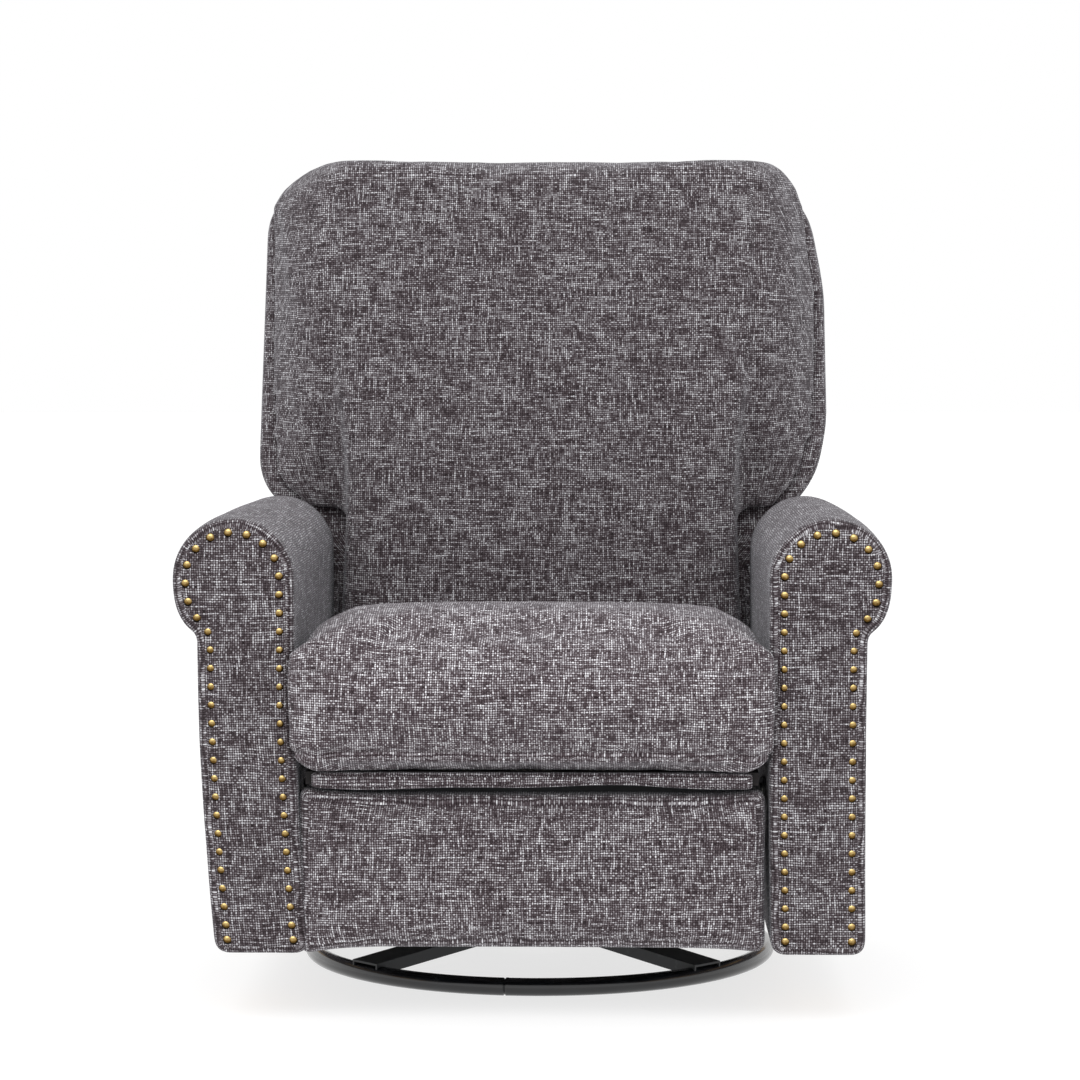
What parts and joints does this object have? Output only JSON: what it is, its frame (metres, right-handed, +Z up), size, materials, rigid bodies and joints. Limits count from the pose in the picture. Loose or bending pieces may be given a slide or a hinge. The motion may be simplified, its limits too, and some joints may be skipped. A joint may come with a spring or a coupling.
{
  "type": "swivel glider recliner",
  "caption": "Upholstered recliner armchair on a swivelling ring base, with a glide suspension, a reclining winged back and a fold-out footrest.",
  "frame": {"origin": "on the floor, on the swivel axis, under the middle of the chair", "axes": "+Z up, the chair faces -Y, +X towards its left arm as the sitter faces, which is the right-hand side of the picture"},
  "size_m": [0.843, 0.95, 1.0409],
  "materials": {
    "tweed": "woven chenille tweed, dark heather grey",
    "frame_timber": "planed softwood and plywood",
    "webbing": "elastic webbing",
    "antique_brass": "antique brass, domed",
    "black_enamel": "gloss black enamel on steel tube",
    "mechanism_steel": "satin black coated stamped steel",
    "zinc_steel": "zinc plated",
    "nylon": "natural nylon"
  },
  "bodies": {
    "base": {"base_ring": "black_enamel", "cross_arms": "mechanism_steel", "lower_swivel_plate": "mechanism_steel", "bearing_race": "nylon"},
    "swivel_deck": {"upper_swivel_plate": "mechanism_steel", "swivel_pivot_bolt": "zinc_steel", "deck_bolts": "zinc_steel", "deck_beam_front": "mechanism_steel", "deck_beam_rear": "mechanism_steel", "glide_stand_right": "mechanism_steel", "glide_stand_left": "mechanism_steel", "glide_upper_pins": "zinc_steel"},
    "glide_front_links": {"glide_front_links": "mechanism_steel"},
    "glide_rear_links": {"glide_rear_links": "mechanism_steel"},
    "chassis": {"side_plate_right": "mechanism_steel", "side_plate_left": "mechanism_steel", "cross_tube_middle": "mechanism_steel", "cross_tube_rear": "mechanism_steel", "glide_lower_pins": "zinc_steel", "seat_link_lower_pins": "zinc_steel", "back_control_pins": "zinc_steel", "thigh_pins": "zinc_steel", "arm_right": "tweed", "arm_left": "tweed", "arm_frame_right": "frame_timber", "arm_frame_left": "frame_timber", "nailheads_right": "antique_brass", "nailheads_left": "antique_brass", "rear_panel": "tweed"},
    "seat_front_links": {"seat_front_links": "mechanism_steel"},
    "seat_rear_links": {"seat_rear_links": "mechanism_steel"},
    "seat": {"seat_side_plate_right": "mechanism_steel", "seat_side_plate_left": "mechanism_steel", "seat_link_upper_pins": "zinc_steel", "seat_frame": "frame_timber", "seat_webbing": "webbing", "seat_front_strip": "tweed", "seat_cushion": "tweed"},
    "back": {"back_bracket_right": "mechanism_steel", "back_bracket_left": "mechanism_steel", "back_pivot_pins": "zinc_steel", "back_cushion": "tweed", "back_wing_right": "tweed", "back_wing_left": "tweed", "back_shell": "tweed", "back_frame": "frame_timber", "back_webbing": "webbing"},
    "back_control_links": {"back_control_links": "mechanism_steel"},
    "thigh_front_links": {"thigh_front_links": "mechanism_steel", "control_pins": "zinc_steel"},
    "thigh_rear_links": {"thigh_rear_links": "mechanism_steel"},
    "shanks": {"shank_links": "mechanism_steel", "knee_pins": "zinc_steel", "ankle_pins": "zinc_steel"},
    "ottoman": {"ottoman_bracket_right": "mechanism_steel", "ottoman_bracket_left": "mechanism_steel", "footrest_board": "frame_timber", "footrest_pad": "tweed"},
    "footrest_control_links": {"footrest_control_links": "mechanism_steel"}
  },
  "joints": [
    {"name": "swivel", "type": "hinge", "parent": "base", "child": "swivel_deck", "pos_m": [0, 0, 0.0542], "axis": [0, 0, 1], "continuous": true},
    {"name": "glide", "type": "hinge", "parent": "swivel_deck", "child": "glide_rear_links", "pos_m": [0, 0.06, 0.177], "axis": [-1, 0, 0], "range_deg": [-28, 28]},
    {"name": "glide_front", "type": "hinge", "parent": "swivel_deck", "child": "glide_front_links", "pos_m": [0, -0.06, 0.177], "axis": [-1, 0, 0], "range_deg": [-28, 28]},
    {"name": "chassis_hang", "type": "hinge", "parent": "glide_rear_links", "child": "chassis", "pos_m": [0, 0.06, 0.092], "axis": [-1, 0, 0], "range_deg": [-28, 28]},
    {"name": "back_recline", "type": "hinge", "parent": "seat", "child": "back", "pos_m": [0, 0.1, 0.282], "axis": [-1, 0, 0], "range_deg": [0, 32]},
    {"name": "seat_front", "type": "hinge", "parent": "chassis", "child": "seat_front_links", "pos_m": [0, -0.11, 0.208], "axis": [-1, 0, 0], "range_deg": [-50, 0]},
    {"name": "seat_rear", "type": "hinge", "parent": "chassis", "child": "seat_rear_links", "pos_m": [0, 0.04, 0.208], "axis": [-1, 0, 0], "range_deg": [-50, 0]},
    {"name": "seat_carry", "type": "hinge", "parent": "seat_front_links", "child": "seat", "pos_m": [0, -0.08879, 0.26626], "axis": [-1, 0, 0], "range_deg": [0, 50]},
    {"name": "back_control", "type": "hinge", "parent": "chassis", "child": "back_control_links", "pos_m": [0, 0.0875, 0.2065], "axis": [-1, 0, 0], "range_deg": [-84.07, 0]},
    {"name": "footrest", "type": "hinge", "parent": "chassis", "child": "thigh_front_links", "pos_m": [0, -0.352, 0.262], "axis": [-1, 0, 0], "range_deg": [0, 142]},
    {"name": "thigh_rear", "type": "hinge", "parent": "chassis", "child": "thigh_rear_links", "pos_m": [0, -0.29527, 0.24247], "axis": [-1, 0, 0], "range_deg": [0, 142]},
    {"name": "knee", "type": "hinge", "parent": "thigh_front_links", "child": "shanks", "pos_m": [0, -0.1944, 0.13887], "axis": [-1, 0, 0], "range_deg": [-142, 0]},
    {"name": "ankle", "type": "hinge", "parent": "shanks", "child": "ottoman", "pos_m": [0, -0.35003, 0.19246], "axis": [-1, 0, 0], "range_deg": [0, 90.01]},
    {"name": "footrest_control", "type": "hinge", "parent": "thigh_front_links", "child": "footrest_control_links", "pos_m": [0, -0.16445, 0.11547], "axis": [-1, 0, 0], "range_deg": [-140.22, 0]}
  ],
  "couplings": [
    {"joint": "glide_front", "follows": "glide", "ratio": 1},
    {"joint": "chassis_hang", "follows": "glide", "ratio": -1},
    {"joint": "seat_front", "follows": "back_recline", "ratio": -1.5625},
    {"joint": "seat_rear", "follows": "back_recline", "ratio": -1.5625},
    {"joint": "seat_carry", "follows": "back_recline", "ratio": 1.5625},
    {"joint": "back_control", "follows": "back_recline", "ratio": -2.6268},
    {"joint": "thigh_rear", "follows": "footrest", "ratio": 1},
    {"joint": "knee", "follows": "footrest", "ratio": -1},
    {"joint": "ankle", "follows": "footrest", "ratio": 0.6338},
    {"joint": "footrest_control", "follows": "footrest", "ratio": -0.98736}
  ]
}
